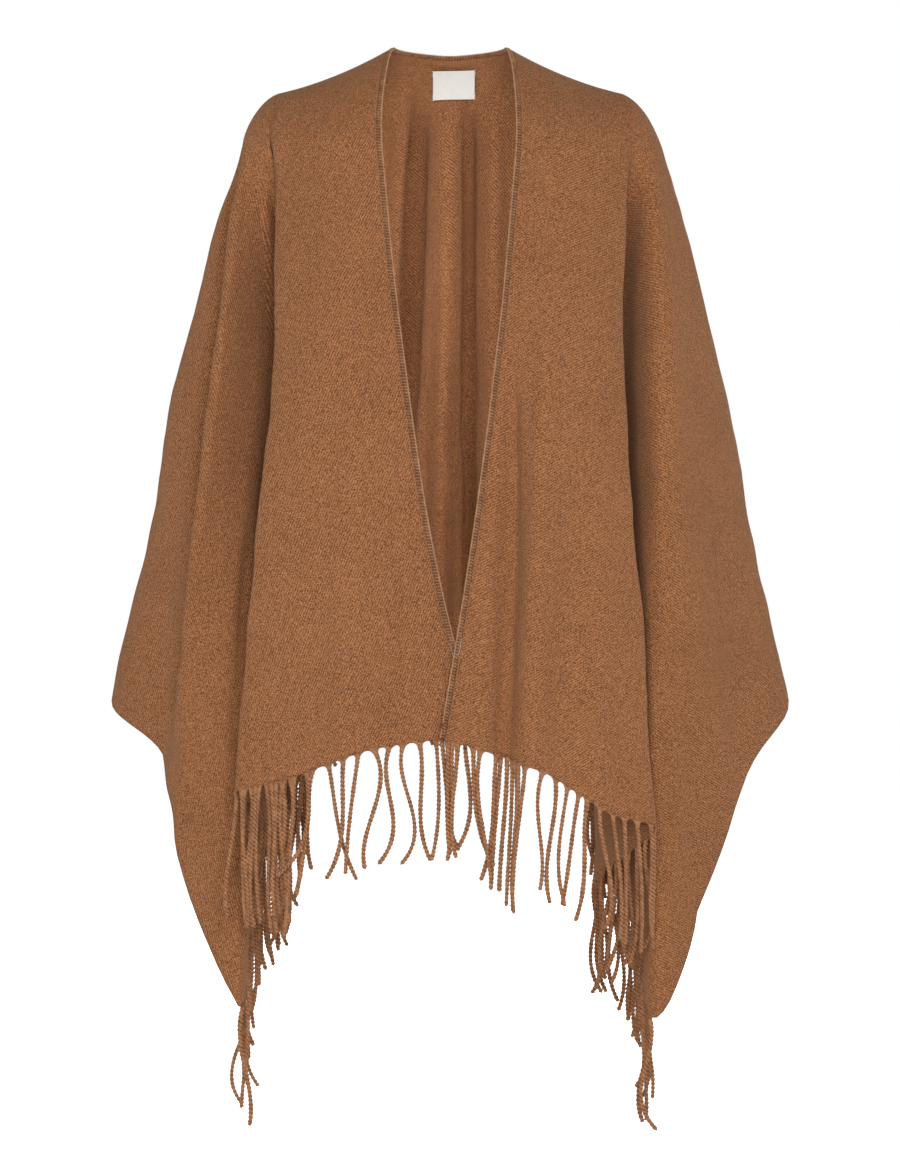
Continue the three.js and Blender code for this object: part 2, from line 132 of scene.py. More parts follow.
RIGHT = [
    ["opening", 0, 72, -92, 54, -131, 25, -152, -14, -162, -707, 1.0, 6, 14],
    ["panel inner", 0.4, 108, -95, 102, -139, 98, -157, 94, -162, -738, 1.0, 6, 15],
    ["panel outer", 0.8, 152, -80, 144, -124, 148, -143, 158, -148, -778, 0.9, 4, 16],
    ["front fold", 1, 183, -60, 174, -100, 187, -119, 205, -128, -796, 0.35, 3, 16],
    ["tuck in", 1, 186, -54, 160, -64, 165, -76, 176, -82, -828, 0.8, 3, 19],
    ["inner fold in", 1, 189, -50, 154, 10, 152, 44, 156, 72, -864, 0.5, 2, 24],
    ["inner fold out", 1, 192, -48, 163, 12, 164, 46, 169, 75, -876, 0.5, 3, 28],
    ["tuck out", 1, 196, -46, 181, -16, 187, -18, 195, -22, -935, 0.8, 3, 33],
    ["corner line", 1, 201, -43, 192, -50, 202, -80, 206, -98, -988, 0.6, 3, 38],
    ["arm flute", 1, 209, -38, 215, -76, 222, -90, 242, -82, -884, 0.9, 3, 46],
    ["arm valley", 1, 219, -18, 244, -48, 272, -44, 308, -28, -746, 0.9, 3, 55],
    ["outline", 1, 223, 0, 275, 3, 318, 20, 376, 35, -672, 0.8, 3, 64],
    ["selvedge mid", 1, 218, 22, 262, 64, 298, 96, 342, 128, -618, 0.9, 3, 90],
    ["back valley 1", 1, 211, 34, 240, 52, 268, 56, 298, 64, -652, 0.8, 4, 104],
    ["back flute 1", 1, 204, 46, 236, 116, 258, 152, 280, 180, -716, 0.7, 4, 118],
    ["back valley 2", 1, 197, 51, 206, 74, 214, 80, 218, 88, -800, 0.7, 4, 130],
    ["back corner", 1, 191, 58, 202, 124, 212, 154, 218, 172, -868, 0.7, 4, 140],
    ["back inner", 1, 185, 60, 162, 94, 155, 102, 152, 108, -744, 0.35, 4, 160],
    ["back fold", 1, 178, 66, 164, 138, 164, 166, 166, 180, -656, 0.6, 4, 178],
    ["back outer", 0.8, 141, 84, 128, 143, 126, 169, 126, 183, -624, 0.9, 3, 179],
    ["back inner pan", 0.4, 100, 92, 92, 147, 90, 172, 90, 185, -608, 1.0, 3, 180],
    ["neck corner", 0, 66, 97, 62, 149, 60, 174, 60, 187, -598, 1.0, 4, 180],
    ["neck side", -0.5, 33, 99, 31, 151, 30, 176, 30, 189, -602, 1.0, 4, 180],
    ["centre back", -1, 0, 100, 0, 152, 0, 177, 0, 190, -614, 1.0, 0, 180],
]

# Flutes of the two panels, in millimetres. Each row holds its panel, x of the crest at the shoulder's
# height and 700 below it, half width, height of the full crest (away from the wearer when positive),
# the height it starts at and how far below that it is full.
FLUTES = [
    ["back", -118, -124, 26, 9, -90, 420],
    ["back", -46, -88, 19, -15, 0, 110],
    ["back", -25, -62, 15, 16, 0, 110],
    ["back", 0, -14, 22, -17, 0, 120],
    ["back", 22, 24, 13, 16, 0, 110],
    ["back", 48, 44, 17, -14, 0, 110],
    ["back", 80, 84, 18, 9, -40, 300],
    ["back", 112, 120, 26, 10, -90, 420],
    ["front", -92, -104, 30, 6, -260, 420],
    ["front", -40, -46, 22, -5, -330, 420],
    ["front", 118, 84, 26, 10, -200, 420],
    ["front", 60, 52, 18, -8, -240, 420],
    ["front", 152, 150, 24, 5, -300, 420],
]

# Creases on top of the flutes, in millimetres, from the deep hollows of the back to faint folds. Each
# row holds its side, the two lines it lies between, x and z of its two ends as seen from the front,
# how far it bows between them, its half width and its height.
CREASES = [
    [-1, "back fold", "centre back", -30, -15, -60, -640, 0, 13, 20],
    [1, "back fold", "centre back", 20, -15, 22, -640, 0, 10, 13],
    [-1, "corner line", "outline", -208, -76, -284, -740, 0, 6, 4.5],
    [-1, "corner line", "outline", -217, -76, -293, -740, 0, 7, -7],
    [-1, "inner fold out", "arm flute", -204, -470, -221, -780, 1, 7, -9],
    [-1, "panel outer", "inner fold in", -185, -40, -185, -420, 0, 4.5, -6.5],
    [1, "opening", "front fold", 100, -270, 80, -760, 6, 14, 4.5],
    [1, "opening", "front fold", 62, -300, 50, -780, -4, 13, -12],
    [1, "arm flute", "outline", 240, -366, 274, -342, 3, 9, -2.0],
    [1, "arm flute", "outline", 244, -392, 276, -418, -3, 9, 1.8],
    [1, "corner line", "outline", 208, -620, 282, -628, 4, 12, 1.6],
    [1, "corner line", "outline", 212, -690, 300, -668, -6, 16, -1.8],
    [-1, "opening", "front fold", -150, -120, -132, -330, 6, 22, -1.6],
    [-1, "opening", "front fold", -96, -200, -118, -560, -8, 16, 1.4],
    [-1, "corner line", "outline", -262, -300, -300, -560, 8, 14, 1.6],
    [-1, "corner line", "outline", -240, -560, -300, -640, -8, 18, -1.6],
]

# Faint unevenness all over, in millimetres: the length of each wave, its heading from the warp in
# degrees and its height.
RIPPLES = [[236, 82, 1.0], [148, 64, 0.7], [121, 117, 0.6], [71, 76, 0.3], [53, 108, 0.22]]


def hermite(p, q, m, n, t):
    """The cubic from p to q that leaves along m and arrives along n, at shares t of the way."""
    start, end = (1 + 2 * t) * (1 - t) ** 2 * p, t * t * (3 - 2 * t) * q
    return start + t * (1 - t) ** 2 * m + end + t * t * (t - 1) * n


def length_of(v):
    return np.sqrt((v * v).sum(-1, keepdims=True))


def unit(v):
    return v / np.maximum(length_of(v), 1e-9)


def smooth(x):
    """0 below 0, 1 above 1, and an even S between them."""
    x = np.clip(x, 0, 1)
    return x * x * (3 - 2 * x)


def bump_across(off):
    """A soft ridge across its middle: one at 0, falling along a squared cosine to nothing at 1."""
    return np.where(np.abs(off) < 1, np.cos(np.clip(off, -1, 1) * math.pi / 2) ** 2, 0)


def top_line(side, top):
    """The line the cloth hangs from: straight from tip to neck with a small sag, then an ellipse behind."""
    x = NECK["half_width"] + (SHOULDER_TIP["x"] - NECK["half_width"]) * top
    z = NECK["height"] + (SHOULDER_TIP["height"] - NECK["height"]) * top - SHOULDER_SAG * 4 * top * (1 - top)
    angle = (1 + np.minimum(top, 0)) * math.pi / 2
    x = np.where(top < 0, NECK["half_width"] * np.sin(angle), x)
    y = np.where(top < 0, NECK["depth"] * np.cos(angle), 0)
    return np.stack([side * x, y, np.where(top < 0, NECK["height"] - NECK["dip"] * top ** 2, z)], -1)


def half_columns(side, rows):
    """The columns of one half, from the opening. Between two lines of the table each level's plan place
    is a cubic whose tangents halve the angle between the chords, and the end and the grain run smoothly
    with it."""
    lines = dict(zip(LINE, map(np.array, zip(*rows))))
    count = len(rows)
    place = np.stack([np.stack([lines[f"x{k}"], lines[f"y{k}"]], -1) for k in (1, 2, 3, 4)], 1) * MM
    chord = np.diff(place, axis=0)
    nothing = np.zeros_like(chord[:1])
    turn = unit(np.concatenate([nothing, unit(chord)]) + np.concatenate([unit(chord), nothing]))
    turn = turn * lines["soft"][:, None, None]
    end = lines["end"] * MM
    slope = (end[np.minimum(np.arange(count) + 1, count - 1)] - end[np.maximum(np.arange(count) - 1, 0)]) / 2
    steps = np.round(lines["steps"][:-1] * FINER).astype(int)
    which = np.append(np.repeat(np.arange(count - 1), steps), count - 2)
    share = np.append(np.concatenate([np.arange(n) / n for n in steps]), 1.0)
    t, span = share[:, None, None], length_of(chord)[which]
    plan = hermite(place[which], place[which + 1], turn[which] * span, turn[which + 1] * span, t)
    return {
        "side": np.full(len(which), side),
        "plan": plan,
        "end": hermite(end[which], end[which + 1], slope[which], slope[which + 1], share),
        "top": lines["top"][which] * (1 - share) + lines["top"][which + 1] * share,
        "grain": np.radians(lines["grain"][which] * (1 - share) + lines["grain"][which + 1] * share),
        "order": which + share,
    }


def rates_of(plan):
    """How fast each column moves in plan with height, at each level."""
    low, high = [0, 0, 1, 2], [1, 2, 3, 3]
    return (plan[:, high] - plan[:, low]) / (LEVELS[high] - LEVELS[low])[None, :, None]


def hang_at(plan, z):
    """The plan places of columns at heights z[column, row]: cubics between the levels, straight below."""
    rate = rates_of(plan)
    k = np.clip(np.searchsorted(-LEVELS, -z, side="right") - 1, 0, 2)
    step = (LEVELS[k + 1] - LEVELS[k])[..., None]
    t = (z - LEVELS[k])[..., None] / step
    own = np.arange(len(plan))[:, None]
    curve = hermite(plan[own, k], plan[own, k + 1], rate[own, k] * step, rate[own, k + 1] * step, t)
    below = plan[:, None, -1] + rate[:, None, -1] * (z - LEVELS[-1])[..., None]
    return np.where((z < LEVELS[-1])[..., None], below, curve)


def line_number(name):
    """Where a named line stands in the tables, which is what a column's order counts from."""
    return [row[0] for row in LEFT].index(name)


def flute_lift(columns, x, z):
    """The height of all flutes at x and z: each a soft ridge across its crest that grows below its start."""
    order = columns["order"]
    panels = {"front": order < line_number("front fold"), "back": order >= line_number("back fold")}
    lift = np.zeros_like(x)
    for panel, x1, x2, wide, out, start, grow in FLUTES:
        crest = (x1 + (x2 - x1) * np.clip(-z / CREST_SPAN, 0, 1)) * MM
        height = out * MM * smooth((start * MM - z) / (grow * MM)) * bump_across((x - crest) / (wide * MM))
        lift += np.where(panels[panel][:, None], height if panel == "back" else -height, 0)
    return lift


def hang_points(columns, z):
    """Points of the hanging cloth at heights z[column, row], or of the line of its fall below the hem."""
    x, y = np.moveaxis(hang_at(columns["plan"], z), -1, 0)
    return np.stack([x, y + flute_lift(columns, x, z), z], -1)


def cloth_points(columns):
    """The grid of the cloth. The first rows round the shoulder on cubics from the top line to the first
    level, and the rest are spaced evenly from there to each column's end."""
    top, plan = columns["top"], columns["plan"]
    start = top_line(columns["side"], top)
    first = np.concatenate([plan[:, 0], np.full((len(start), 1), LEVELS[0])], -1)
    reach = length_of(first - start)
    out = unit((first - start)[:, :2])
    drop = np.where(top < 0, CAP["back_drop"] * -top, CAP["side_drop"] * np.abs(out[:, 0]))[:, None]
    leave = np.concatenate([out, -drop], -1) * CAP["leave"] * reach
    arrive = unit(np.concatenate([-rates_of(plan)[:, 0], np.full((len(start), 1), -1.0)], -1))
    arrive = arrive * CAP["arrive"] * reach
    t = (np.arange(CAP_ROWS) / CAP_ROWS)[None, :, None]
    cap = hermite(start[:, None], first[:, None], leave[:, None], arrive[:, None], t)
    cap[..., 1] += flute_lift(columns, cap[..., 0], cap[..., 2])
    share = np.arange(HANG_ROWS + 1) / HANG_ROWS
    z = LEVELS[0] + (columns["end"] - LEVELS[0])[:, None] * share
    return np.concatenate([cap, hang_points(columns, z)], 1)


def grid_normals(points):
    """Unit normals of a grid, away from the wearer: across the columns crossed with down the rows."""
    across, down = np.gradient(points, axis=0), np.gradient(points, axis=1)
    across[:, 0] = across[:, 1]
    return unit(np.cross(across, down))


def distance_along(paths):
    """The length along each path, or each column of a grid, from its start to each of its points."""
    steps = length_of(np.diff(paths, axis=1))[..., 0]
    return np.concatenate([np.zeros((len(paths), 1)), np.cumsum(steps, 1)], 1)


def warp_and_weft(columns, points):
    """Where each point lies on the flat cloth. A column runs straight at its grain angle from its place
    on the shoulder line, and the distance along it is its length as it hangs. Behind the neck a column
    starts as far down the cloth as the scoop is deep there."""
    down = (distance_along(points) + points[:, :1, 1]).T
    tips = top_line(columns["side"], np.ones(len(points)))
    away = length_of(points[:, 0] - tips)[:, 0]
    behind = np.where(columns["order"] > line_number("outline"), 1, -1)
    grain = columns["grain"]
    weft = away * behind * np.cos(grain) + down * np.sin(grain) + away.max()
    warp = away * behind * np.sin(grain) - down * np.cos(grain)
    return np.stack([(columns["side"] * weft).T, warp.T], -1)


def settled(columns, points, flat, rounds=40, hold=4.0):
    """The flat places with the least stretch. Each cell turns its own hanging shape to fit its flat one
    best, or in the panels mostly to its grain, and then all places move to agree with their cells: the
    sum of squares is least where a Laplace equation on the grid holds, which a Fourier transform of the
    mirrored grid solves. A place is one complex number, and so is a turn."""
    across, down = np.diff(points, axis=0), np.diff(points, axis=1)
    across, down = (across[:, :-1] + across[:, 1:]) / 2, (down[:-1] + down[1:]) / 2
    fall = length_of(down)[..., 0]
    lean = (across * down).sum(-1) / fall
    across = -np.sqrt(np.maximum((across ** 2).sum(-1) - lean ** 2, 0)) - 1j * lean
    down = -1j * fall
    order, turn = columns["order"], columns["side"] * columns["grain"]
    in_panel = (order < line_number("front fold")) | (order >= line_number("back fold"))
    held = (np.exp(1j * turn) * in_panel * hold)[:-1, None]
    long, high = points.shape[:2]
    waves = [2 * np.cos(math.pi * np.arange(2 * n) / n) - 2 for n in (long, high)]
    waves = waves[0][:, None] + waves[1]
    waves[0, 0] = 1
    place = flat[..., 0] + 1j * flat[..., 1]
    for _ in range(rounds):
        over, under = np.diff(place, axis=0), np.diff(place, axis=1)
        turn = np.conj(across) * (over[:, :-1] + over[:, 1:]) + np.conj(down) * (under[:-1] + under[1:])
        turn = turn / np.maximum(abs(turn), 1e-12) + held
        turn = turn / np.maximum(abs(turn), 1e-12)
        over, under = np.pad(turn * across, 1, "edge"), np.pad(turn * down, 1, "edge")
        over[[0, -1]], under[:, [0, -1]] = 0, 0
        pull = np.diff(over[:, :-1] + over[:, 1:], axis=0) + np.diff(under[:-1] + under[1:], axis=1)
        pull = np.pad(pull / 2, ((0, long), (0, high)), "symmetric")
        pull = np.fft.fft2(pull) / waves
        pull[0, 0] = 0
        place = np.fft.ifft2(pull)[:long, :high]
    return np.stack([place.real, place.imag], -1)


def creased(columns, points, flat):
    """The grid with its small creases and ripples, all moved along the cloth's own normals."""
    order, lift = columns["order"], np.zeros(points.shape[:2])
    for side, first, last, x1, z1, x2, z2, bow, wide, out in CREASES:
        start, way = np.array([x1, z1]) * MM, np.array([x2 - x1, z2 - z1]) * MM
        long = math.hypot(*way)
        off = points[..., [0, 2]] - start
        along = off @ way / long ** 2
        across = (off[..., 0] * way[1] - off[..., 1] * way[0]) / long - bow * MM * 4 * along * (1 - along)
        run_out = min(CREASE_FADE["share"], CREASE_FADE["length"] / long)
        fade = smooth(along / run_out) * smooth((1 - along) / run_out)
        inside = (columns["side"] == side) & (order > line_number(first)) & (order < line_number(last))
        lift += out * MM * bump_across(across / (wide * MM)) * fade * inside[:, None]
    for long, heading, height in RIPPLES:
        way = np.array([math.sin(math.radians(heading)), math.cos(math.radians(heading))]) / (long * MM)
        phase = flat @ way + 0.6 * np.sin(flat @ way[::-1] * 1.7 + heading)
        lift += height * MM * np.sin(2 * math.pi * phase)
    lift = lift * smooth(distance_along(points) / CREASE_FADE["below_shoulder"])
    return points + grid_normals(points) * lift[..., None]


def grid_faces(columns, rows):
    """The quads of a grid of columns by rows, which face the way of across crossed with down."""
    i, j = np.meshgrid(np.arange(columns - 1), np.arange(rows - 1), indexing="ij")
    a = i * rows + j
    return np.stack([a, a + rows, a + rows + 1, a + 1], -1).reshape(-1, 4)


def mesh_piece(name, points, faces, flat=None):
    """A smooth mesh from points and faces. Its UV is each point's place on the flat cloth, or on a
    thread how light the yarn is there, which on plied cords is painted shade."""
    mesh = bpy.data.meshes.new(name)
    mesh.from_pydata(points.reshape(-1, 3).tolist(), [], faces.tolist())
    if flat is not None:
        layer = mesh.uv_layers.new(name="weave")
        layer.data.foreach_set("uv", flat.reshape(-1, 2)[faces.ravel()].ravel())
    piece = bpy.data.objects.new(name, mesh)
    bpy.context.scene.collection.objects.link(piece)
    mesh.shade_smooth()
    return piece


def weld(piece, within=0.02 * MM):
    """Joins the points that coincide, such as those along a ridge or at a pole."""
    sewn = bmesh.new()
    sewn.from_mesh(piece.data)
    bmesh.ops.remove_doubles(sewn, verts=sewn.verts, dist=within)
    sewn.to_mesh(piece.data)
    sewn.free()


left_half, right_half = half_columns(-1, LEFT), half_columns(1, RIGHT)
columns = {key: np.concatenate([left_half[key], right_half[key][-2::-1]]) for key in left_half}
smooth_points = cloth_points(columns)
straight_weave = warp_and_weft(columns, smooth_points)
cloth_grid = creased(columns, smooth_points, straight_weave)
weave = settled(columns, cloth_grid, straight_weave)
cloth_normals = grid_normals(cloth_grid)

cloth = mesh_piece("cloth_twill", cloth_grid, grid_faces(*cloth_grid.shape[:2]), weave)
weld(cloth)
wall = cloth.modifiers.new("wall", "SOLIDIFY")
wall.thickness = CLOTH_WALL
wall.offset = 0.0


class Value:
    """A socket of a material's tree. Arithmetic on it adds Math nodes, and node() adds any other."""

    def __init__(self, tree, socket=None):
        self.tree, self.socket = tree, socket

    def node(self, kind, settings=None, sockets=None, out=0):
        """A new node of a kind: its settings first, then numbers or links into its sockets by name or
        number."""
        made = self.tree.nodes.new(kind)
        for name, setting in (settings or {}).items():
            setattr(made, name, setting)
        for name, given in (sockets or {}).items():
            if isinstance(given, Value):
                self.tree.links.new(given.socket, made.inputs[name])
            else:
                made.inputs[name].default_value = given
        return Value(self.tree, made.outputs[out])

    def math(self, operation, *values, clamp=False):
        settings = {"operation": operation, "use_clamp": clamp}
        return self.node("ShaderNodeMath", settings, dict(enumerate(values)))

    def __add__(self, other):
        return self.math("ADD", self, other)

    def __sub__(self, other):
        return self.math("SUBTRACT", self, other)

    def __rsub__(self, other):
        return self.math("SUBTRACT", other, self)

    def __mul__(self, other):
        return self.math("MULTIPLY", self, other)

    def __truediv__(self, other):
        return self.math("DIVIDE", self, other)

    def __pow__(self, other):
        return self.math("POWER", self, other)

    __radd__ = __add__
    __rmul__ = __mul__

    def wave(self):
        """A wave between 0 and 1 that repeats each time the value grows by one."""
        return self.math("SINE", self * (2 * math.pi)) * 0.5 + 0.5

    def clamped(self):
        return self.math("ADD", self, 0.0, clamp=True)

    def noise(self, scale, detail=2.0, roughness=0.5):
        """Noise from 0 to 1 on a vector, with a grain of about 1 / scale."""
        sockets = {"Vector": self, "Scale": scale, "Detail": detail, "Roughness": roughness}
        return self.node("ShaderNodeTexNoise", None, sockets)

    def stretched(self, size, turn=0.0):
        """A vector turned about Z, then scaled."""
        turned = self.node("ShaderNodeMapping", None, {"Vector": self, "Rotation": (0.0, 0.0, turn)})
        return turned.node("ShaderNodeMapping", None, {"Vector": turned, "Scale": size})

    def part(self, axis):
        return self.node("ShaderNodeSeparateXYZ", None, {0: self}, axis)

    def mixed(self, low, high):
        """The colour between low and high at this share."""
        sockets = {0: self, 6: low, 7: high}
        return self.node("ShaderNodeMix", {"data_type": "RGBA"}, sockets, 2)


def colour(red, green, blue, part=1.0):
    """A colour from its screen values, 0 to 255, in the shader's linear light."""
    def linear(c):
        c = c / 255
        return c / 12.92 if c <= 0.04045 else ((c + 0.055) / 1.055) ** 2.4
    return (linear(red) * part, linear(green) * part, linear(blue) * part, 1.0)


WHITE = (1.0, 1.0, 1.0, 1.0)


def finish_of(name, roughness, sheen=0.0, sheen_tint=WHITE, sheen_roughness=0.5, specular=0.18):
    """A new material: its start value for node(), and its shader with the numbers that don't vary."""
    material = bpy.data.materials.new(name)
    material.use_nodes = True
    shader = material.node_tree.nodes["Principled BSDF"]
    numbers = {"Roughness": roughness, "Specular IOR Level": specular, "Sheen Weight": sheen,
               "Sheen Tint": sheen_tint, "Sheen Roughness": sheen_roughness}
    for socket, number in numbers.items():
        shader.inputs[socket].default_value = number
    return material, Value(material.node_tree), shader


def paint(material, shader, base, height, distance, strength):
    """Links a colour to the shader, and a height in parts of a distance through a Bump node."""
    start = Value(material.node_tree)
    sockets = {"Height": height, "Distance": distance, "Strength": strength}
    normal = start.node("ShaderNodeBump", None, sockets)
    material.node_tree.links.new(base.socket, shader.inputs["Base Color"])
    material.node_tree.links.new(normal.socket, shader.inputs["Normal"])


TWILL = {"wale": 2.4 * MM, "float": 2.9 * MM, "angle": math.radians(46.0), "relief": 0.6 * MM}
BARE = {"middle": (SHOULDER_TIP["x"], 0.0, 0.075), "reach": 0.04, "fade": 14.0}


def brushed_twill():
    """Wales run at an angle over the warp, each a row of short floats, and brushing has pulled a nap
    of fibres over them that hides them here and there, most where the cloth turns over the shoulders.
    Blotches are where the nap lies flatter."""
    material, start, shader = finish_of("brushed_twill", 0.95, 0.16, colour(255, 206, 160), 0.6)
    flat = start.node("ShaderNodeUVMap", {"uv_map": "weave"})
    place = start.node("ShaderNodeTexCoord", None, None, "Object")
    along = flat.stretched((1.0, 1.0, 1.0), -TWILL["angle"])
    wander = (flat.noise(70.0, 2.0) - 0.5) * 0.5
    wale = (along.part("Y") / TWILL["wale"] + wander).wave()
    float_step = (along.part("X") / TWILL["float"] + wale * 0.5).wave()
    either_side = place.node("ShaderNodeVectorMath", {"operation": "ABSOLUTE"}, {0: place})
    measure = {"operation": "DISTANCE"}
    away = place.node("ShaderNodeVectorMath", measure, {0: either_side, 1: BARE["middle"]}, "Value")
    bare = ((away - BARE["reach"]) * BARE["fade"]).clamped()
    nap = place.noise(760.0, 2.0, 0.6)
    fuzz = place.noise(1500.0, 2.0, 0.7)
    cover = place.noise(24.0, 3.0)
    blotch = place.noise(11.0, 3.0)
    weave = (wale * 0.8 + float_step * 0.2 - 0.5) * (0.25 + cover * 1.1) * bare
    tone = 0.5 + weave * 0.62 + (nap - 0.5) * 2.4 + (fuzz - 0.5) * 3.2 + (blotch - 0.5) * 0.2
    base = (tone.clamped() ** 1.25).mixed(colour(80, 43, 21), colour(184, 126, 84))
    paint(material, shader, base, weave * 0.7 + nap * 0.6 + fuzz * 0.6, TWILL["relief"], 0.6)
    return material


cloth.data.materials.append(brushed_twill())
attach(cloth, "root")
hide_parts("cloth")


# ---- Edging ----
# The slit and the neck are cut edges, so an overlock machine bound them in one run: the raw edge rolls
# under a fine thread that wraps it again and again, held by a row of needle stitches just inside it.
# The thread's tail ends in a small knot at the foot of the right front.

EDGING = {"gap": 0.3 * MM, "wide": 4.6 * MM, "thick": 2.2 * MM, "rings": 420, "sides": 14}
EDGE_START = 0.002
WRAP = {"pitch": 3.1 * MM, "thread": 0.50 * MM, "turn": 10, "sides": 4}
PURL = {"thread": 0.62 * MM, "sway": 0.55 * MM, "steps": 4}
NEEDLE = {"inside": 1.3 * MM, "long": 1.9 * MM, "thread": 0.34 * MM}


def open_edge(grid):
    """What a grid holds along the cloth's open edge, from the left hem up round the neck to the right."""
    behind = columns["order"] >= line_number("neck corner")
    return np.concatenate([grid[0, :0:-1], grid[behind, 0], grid[-1, 1:]])


def spread(path, places):
    """Points of a path at distances along it, straight from one of its own points to the next."""
    along = distance_along(path[None])[0]
    return lambda values: np.stack([np.interp(places, along, values[:, k]) for k in range(3)], -1)


def tubes(centres, first, second, profile, scale, light=1.0):
    """A profile carried along many paths at once. Each ring is its centre plus the profile's two parts
    along the two directions there, times the ring's scale. centres is [path, ring, xyz] and scale
    [path, ring] or [ring]. It gives the points, the faces and how light the yarn is (painted shade on plies)."""
    rings = centres[:, :, None] + scale[..., None, None] * (
        first[:, :, None] * profile[:, :1] + second[:, :, None] * profile[:, 1:])
    count, long, sides = rings.shape[:3]
    path, ring, side = np.meshgrid(np.arange(count), np.arange(long - 1), np.arange(sides), indexing="ij")
    a = (path * long + ring) * sides + side
    b = (path * long + ring) * sides + (side + 1) % sides
    quads = np.stack([a, b, b + sides, a + sides], -1).reshape(-1, 4)
    return rings.reshape(-1, 3), quads, np.broadcast_to(light, rings.shape[:3]).ravel()


def round_profile(sides, wide=1.0, thick=1.0):
    """The corners of an ellipse, in order round it."""
    angle = 2 * math.pi * np.arange(sides) / sides
    return np.stack([wide * np.cos(angle), thick * np.sin(angle)], -1)


def closing(rings, short=2):
    """Scales that close both ends of a tube in a small round cap."""
    place = np.minimum(np.arange(rings), np.arange(rings)[::-1]) / short
    return np.sqrt(1 - (1 - np.clip(place, 0, 1)) ** 2)


def frame_along(paths, hint):
    """Two directions square to each path: the hint made square to it, and the one across both."""
    along = unit(np.gradient(paths, axis=1))
    first = unit(hint - (hint * along).sum(-1, keepdims=True) * along)
    return first, np.cross(along, first)


def joined(parts):
    """Several sets of points, faces and lightness as one, with the lightness as the first half of a UV."""
    points, faces, light = zip(*parts)
    starts = np.cumsum([0] + [len(p) for p in points[:-1]])
    flat = np.stack([np.concatenate(light), np.zeros(sum(map(len, light)))], -1)
    return np.concatenate(points), np.concatenate([f + s for f, s in zip(faces, starts)]), flat


edge, edge_way = open_edge(cloth_grid), open_edge(cloth_normals)
for _ in range(2):
    edge[1:-1] = (edge[:-2] + edge[1:-1] * 2 + edge[2:]) / 4
run = float(length_of(np.diff(edge, axis=0)).sum())
edge_away = unit(np.cross(np.gradient(edge, axis=0), edge_way))


def band():
    """The rolled edge: an ellipse carried along the cloth's open edge, its near side just clear of it."""
    at = spread(edge, np.linspace(0, run, EDGING["rings"]))
    centre = at(edge) + at(edge_away) * (EDGING["gap"] + EDGING["wide"] / 2)
    oval = round_profile(EDGING["sides"], EDGING["wide"] / 2, EDGING["thick"] / 2)
    scale = closing(EDGING["rings"], 3)
    return tubes(centre[None], at(edge_away)[None], -at(edge_way)[None], oval, scale, 0.12)


def wrapping():
    """One thread wound round the rolled edge: at each step along it the thread's centre has turned a
    tenth of the way round the edge's oval."""
    turns = int(run / WRAP["pitch"])
    steps = turns * WRAP["turn"]
    at = spread(edge, np.linspace(EDGE_START, run - EDGE_START, steps))
    angle = (2 * math.pi * np.arange(steps) / WRAP["turn"])[:, None]
    uneven = 1 + 0.05 * np.sin(angle * 0.37) + 0.04 * np.sin(angle * 0.113)
    wide, thick = EDGING["wide"] / 2 + 0.1 * MM, EDGING["thick"] / 2 + 0.15 * MM
    middle = at(edge) + at(edge_away) * (EDGING["gap"] + EDGING["wide"] / 2)
    out = at(edge_away) * np.cos(angle) * wide + at(edge_way) * np.sin(angle) * thick
    path = (middle + out * uneven)[None]
    thread = round_profile(WRAP["sides"]) * WRAP["thread"]
    return tubes(path, *frame_along(path, unit(out)[None]), thread, closing(steps), 0.68)


def purl():
    """The thread that runs along the outer side of the rolled edge and bends round each turn of the
    wrapping: it sways once in a pitch."""
    steps = int(run / WRAP["pitch"] * PURL["steps"])
    at = spread(edge, np.linspace(EDGE_START, run - EDGE_START, steps))
    sway = PURL["sway"] * np.sin(2 * math.pi * np.arange(steps) / PURL["steps"])[:, None]
    path = at(edge) + at(edge_away) * (EDGING["gap"] + EDGING["wide"] + sway)
    path = (path + at(edge_way) * 0.4 * MM)[None]
    thread = round_profile(6) * PURL["thread"]
    return tubes(path, *frame_along(path, at(edge_way)[None]), thread, closing(steps), 1.0)


def needle_row():
    """Short straight stitches on the outside of the cloth, one for each turn of the wrapping."""
    count = int(run / WRAP["pitch"])
    start = EDGE_START + np.arange(count) * WRAP["pitch"]
    share = np.linspace(0, 1, 5)
    at = spread(edge, (start[:, None] + share * NEEDLE["long"]).ravel())
    sunk = (0.2 - np.sin(share * math.pi)[None, :, None] * 0.35) * MM
    way, away = (at(v).reshape(count, 5, 3) for v in (edge_way, edge_away))
    path = at(edge).reshape(count, 5, 3) - away * NEEDLE["inside"] + way * (CLOTH_WALL / 2 - sunk)
    return tubes(path, *frame_along(path, way), round_profile(4) * NEEDLE["thread"], closing(5, 1))


def knot(place, size):
    """The thread's tail: a few loops of a knotted curve, wound round three axes at once."""
    turn = np.linspace(0, 2 * math.pi, 90)
    loop = np.stack([np.sin(2 * turn) * (2 + np.cos(3 * turn)), np.cos(2 * turn) * (2 + np.cos(3 * turn)),
                     np.sin(3 * turn) * 1.4], -1) / 3
    tail = np.stack([turn * 0.16, turn * -0.05, turn * -0.42], -1)
    thread = round_profile(5) * WRAP["thread"]
    parts = []
    for path, scale in ((loop, np.ones(90)), (tail + loop[0], closing(90))):
        path = (place + path * size * [0.7, 0.5, 1.5])[None]
        parts.append(tubes(path, *frame_along(path, [0.3, 1.0, 0.2]), thread, scale, 0.1))
    return parts


